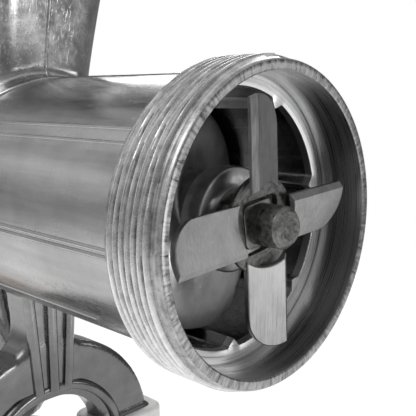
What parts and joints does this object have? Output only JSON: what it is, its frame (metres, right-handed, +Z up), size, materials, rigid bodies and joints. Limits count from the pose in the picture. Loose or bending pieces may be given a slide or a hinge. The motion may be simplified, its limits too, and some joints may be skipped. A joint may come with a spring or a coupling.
{
  "type": "hand crank meat grinder",
  "caption": "Clamp-on hand crank meat grinder with ribbed barrel, hopper, feed screw, cross knife, crank with turning grip and screw clamp; ring nut and plate left off.",
  "frame": {"origin": "where the clamp screw axis meets the table top, which is the plane of the foot pads' undersides", "axes": "+X the way the meat comes out, along the barrel; +Z up, along the clamp screw"},
  "size_m": [0.3174, 0.106, 0.356],
  "materials": {
    "cast_aluminium": "satin polished casting",
    "white_pad": "matte",
    "bronze_bush": "bored bronze",
    "nylon_washer": "matte",
    "tinned_iron": "tinned casting",
    "steel_shaft": "turned",
    "knife_steel": "ground",
    "cast_crank": "satin polished casting",
    "plated_steel": "bright zinc plated",
    "cast_disc": "turned face",
    "beech_wood": "oiled"
  },
  "bodies": {
    "housing": {"barrel_casting": "cast_aluminium", "hopper_casting": "cast_aluminium", "frame_casting": "cast_aluminium", "foot_pad_left": "white_pad", "foot_pad_right": "white_pad", "rear_bush": "bronze_bush"},
    "crank_train": {"auger_screw": "tinned_iron", "auger_shaft": "steel_shaft", "thrust_washer": "nylon_washer", "cross_knife": "knife_steel", "crank_arm": "cast_crank", "crank_screw_washer": "plated_steel", "crank_wing_screw": "plated_steel", "grip_spindle": "plated_steel", "grip_washer": "plated_steel", "grip_end_nut": "plated_steel"},
    "grip": {"wooden_grip": "beech_wood", "grip_ferrule": "plated_steel"},
    "clamp_pad": {"clamp_pad_disc": "cast_disc", "pad_retaining_ring": "plated_steel"},
    "clamp_spindle": {"clamp_screw": "plated_steel"},
    "tommy_bar": {"clamp_tommy_bar": "plated_steel", "tommy_bar_knob_left": "plated_steel", "tommy_bar_knob_right": "plated_steel"}
  },
  "joints": [
    {"name": "crank_turn", "type": "hinge", "parent": "housing", "child": "crank_train", "pos_m": [0, 0, 0.1], "axis": [1, 0, 0], "continuous": true},
    {"name": "grip_spin", "type": "hinge", "parent": "crank_train", "child": "grip", "pos_m": [-0.13, 0, -0.05], "axis": [1, 0, 0], "continuous": true},
    {"name": "clamp_travel", "type": "slide", "parent": "housing", "child": "clamp_pad", "axis": [0, 0, 1], "range_m": [-0.038, 0.002]},
    {"name": "clamp_turn", "type": "hinge", "parent": "clamp_pad", "child": "clamp_spindle", "pos_m": [0, 0, -0.1], "axis": [0, 0, 1], "range_deg": [-5460, 285]},
    {"name": "tommy_bar_slide", "type": "slide", "parent": "clamp_spindle", "child": "tommy_bar", "axis": [0, 1, 0], "range_m": [-0.028, 0.028]}
  ],
  "couplings": [
    {"joint": "clamp_travel", "follows": "clamp_turn", "m_per_rad": 0.00039789}
  ]
}
